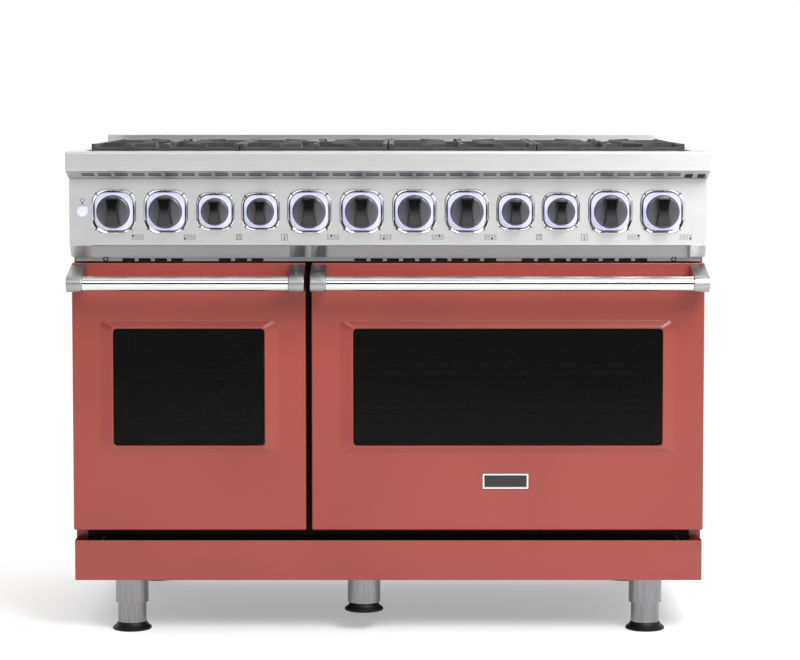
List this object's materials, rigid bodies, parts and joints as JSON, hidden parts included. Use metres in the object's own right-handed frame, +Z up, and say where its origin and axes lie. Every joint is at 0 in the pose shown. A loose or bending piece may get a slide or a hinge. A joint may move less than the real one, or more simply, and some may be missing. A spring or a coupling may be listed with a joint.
{
  "type": "freestanding gas range",
  "caption": "Freestanding gas range on levelling legs, with two drop-down oven doors, round lit control knobs, cast grates over burners and a low rear trim.",
  "frame": {"origin": "on the floor, in the middle of the footprint's bounding box", "axes": "+X to the right of a person facing the doors, +Y to the back, +Z up"},
  "size_m": [1.216, 0.734, 0.955],
  "materials": {
    "red_enamel": "gloss",
    "brushed_steel": "satin",
    "polished_steel": "polished",
    "black_enamel": "gloss",
    "oven_enamel": "gloss",
    "chrome": "polished",
    "cast_iron": "matte",
    "brass": "satin",
    "oven_glass": "gloss",
    "knob_black": "gloss",
    "galvanised_steel": "satin",
    "foot_plastic": "matte",
    "gasket": "matte",
    "led_light": "gloss"
  },
  "bodies": {
    "range_body": {"side_panel_left": "red_enamel", "side_panel_right": "red_enamel", "kick_plate": "red_enamel", "back_panel": "galvanised_steel", "gas_manifold": "galvanised_steel", "base_pan": "brushed_steel", "landing_ledge": "brushed_steel", "control_panel": "brushed_steel", "vent_trim": "brushed_steel", "cooktop_pan": "brushed_steel", "backguard": "brushed_steel", "front_frame": "black_enamel", "oven_cavity_left": "oven_enamel", "oven_cavity_right": "oven_enamel", "rack_left_1": "chrome", "rack_left_2": "chrome", "rack_right_1": "chrome", "rack_right_2": "chrome", "burner_front_1": "brass", "burner_front_2": "brass", "burner_front_3": "brass", "burner_front_4": "brass", "burner_rear_1": "brass", "burner_rear_2": "brass", "burner_rear_3": "brass", "burner_rear_4": "brass"},
    "door_left": {"door_skin_left": "red_enamel", "door_glass_left": "oven_glass", "door_liner_left": "black_enamel", "handle_bar_left": "polished_steel", "handle_bracket_left_a": "brushed_steel", "handle_bracket_left_b": "brushed_steel"},
    "door_right": {"door_skin_right": "red_enamel", "door_glass_right": "oven_glass", "door_liner_right": "black_enamel", "handle_bar_right": "polished_steel", "handle_bracket_right_a": "brushed_steel", "handle_bracket_right_b": "brushed_steel"},
    "knob_01": {"knob_01": "knob_black"},
    "knob_02": {"knob_02": "knob_black"},
    "knob_03": {"knob_03": "knob_black"},
    "knob_04": {"knob_04": "knob_black"},
    "knob_05": {"knob_05": "knob_black"},
    "knob_06": {"knob_06": "knob_black"},
    "knob_07": {"knob_07": "knob_black"},
    "knob_08": {"knob_08": "knob_black"},
    "knob_09": {"knob_09": "knob_black"},
    "knob_10": {"knob_10": "knob_black"},
    "knob_11": {"knob_11": "knob_black"},
    "knob_12": {"knob_12": "knob_black"},
    "lamp_button": {"lamp_button": "knob_black"},
    "grate_1": {"grate_1": "cast_iron"},
    "grate_2": {"grate_2": "cast_iron"},
    "grate_3": {"grate_3": "cast_iron"},
    "grate_4": {"grate_4": "cast_iron"},
    "foot_front_left": {"foot_front_left": "brushed_steel"},
    "foot_front_middle": {"foot_front_middle": "brushed_steel"},
    "foot_front_right": {"foot_front_right": "brushed_steel"},
    "foot_rear_left": {"foot_rear_left": "brushed_steel"},
    "foot_rear_right": {"foot_rear_right": "brushed_steel"}
  },
  "joints": [
    {"name": "door_left_hinge", "type": "hinge", "parent": "range_body", "child": "door_left", "pos_m": [-0.383, -0.261, 0.212], "axis": [1, 0, 0], "range_deg": [0, 90]},
    {"name": "door_right_hinge", "type": "hinge", "parent": "range_body", "child": "door_right", "pos_m": [0.23, -0.261, 0.212], "axis": [1, 0, 0], "range_deg": [0, 90]},
    {"name": "knob_01_turn", "type": "hinge", "parent": "range_body", "child": "knob_01", "pos_m": [-0.522, -0.309, 0.819], "axis": [0, -1, 0], "range_deg": [0, 270]},
    {"name": "knob_02_turn", "type": "hinge", "parent": "range_body", "child": "knob_02", "pos_m": [-0.423, -0.309, 0.819], "axis": [0, -1, 0], "range_deg": [0, 270]},
    {"name": "knob_03_turn", "type": "hinge", "parent": "range_body", "child": "knob_03", "pos_m": [-0.329, -0.309, 0.819], "axis": [0, 1, 0], "range_deg": [0, 300]},
    {"name": "knob_04_turn", "type": "hinge", "parent": "range_body", "child": "knob_04", "pos_m": [-0.2425, -0.309, 0.819], "axis": [0, 1, 0], "range_deg": [0, 300]},
    {"name": "knob_05_turn", "type": "hinge", "parent": "range_body", "child": "knob_05", "pos_m": [-0.15, -0.309, 0.819], "axis": [0, -1, 0], "range_deg": [0, 270]},
    {"name": "knob_06_turn", "type": "hinge", "parent": "range_body", "child": "knob_06", "pos_m": [-0.05, -0.309, 0.819], "axis": [0, -1, 0], "range_deg": [0, 270]},
    {"name": "knob_07_turn", "type": "hinge", "parent": "range_body", "child": "knob_07", "pos_m": [0.05, -0.309, 0.819], "axis": [0, -1, 0], "range_deg": [0, 270]},
    {"name": "knob_08_turn", "type": "hinge", "parent": "range_body", "child": "knob_08", "pos_m": [0.15, -0.309, 0.819], "axis": [0, -1, 0], "range_deg": [0, 270]},
    {"name": "knob_09_turn", "type": "hinge", "parent": "range_body", "child": "knob_09", "pos_m": [0.2425, -0.309, 0.819], "axis": [0, 1, 0], "range_deg": [0, 300]},
    {"name": "knob_10_turn", "type": "hinge", "parent": "range_body", "child": "knob_10", "pos_m": [0.329, -0.309, 0.819], "axis": [0, 1, 0], "range_deg": [0, 300]},
    {"name": "knob_11_turn", "type": "hinge", "parent": "range_body", "child": "knob_11", "pos_m": [0.423, -0.309, 0.819], "axis": [0, -1, 0], "range_deg": [0, 270]},
    {"name": "knob_12_turn", "type": "hinge", "parent": "range_body", "child": "knob_12", "pos_m": [0.522, -0.309, 0.819], "axis": [0, -1, 0], "range_deg": [0, 270]},
    {"name": "lamp_button_press", "type": "slide", "parent": "range_body", "child": "lamp_button", "axis": [0, 1, 0], "range_m": [0, 0.003], "stiffness_N_per_m": 400},
    {"name": "grate_1_lift", "type": "slide", "parent": "range_body", "child": "grate_1", "axis": [0, 0, 1], "range_m": [0, 0.06]},
    {"name": "grate_2_lift", "type": "slide", "parent": "range_body", "child": "grate_2", "axis": [0, 0, 1], "range_m": [0, 0.06]},
    {"name": "grate_3_lift", "type": "slide", "parent": "range_body", "child": "grate_3", "axis": [0, 0, 1], "range_m": [0, 0.06]},
    {"name": "grate_4_lift", "type": "slide", "parent": "range_body", "child": "grate_4", "axis": [0, 0, 1], "range_m": [0, 0.06]},
    {"name": "foot_front_left_screw", "type": "slide", "parent": "range_body", "child": "foot_front_left", "axis": [0, 0, 1], "range_m": [0, 0.037]},
    {"name": "foot_front_middle_screw", "type": "slide", "parent": "range_body", "child": "foot_front_middle", "axis": [0, 0, -1], "range_m": [0, 0.037]},
    {"name": "foot_front_right_screw", "type": "slide", "parent": "range_body", "child": "foot_front_right", "axis": [0, 0, 1], "range_m": [0, 0.037]},
    {"name": "foot_rear_left_screw", "type": "slide", "parent": "range_body", "child": "foot_rear_left", "axis": [0, 0, 1], "range_m": [0, 0.037]},
    {"name": "foot_rear_right_screw", "type": "slide", "parent": "range_body", "child": "foot_rear_right", "axis": [0, 0, 1], "range_m": [0, 0.037]}
  ]
}
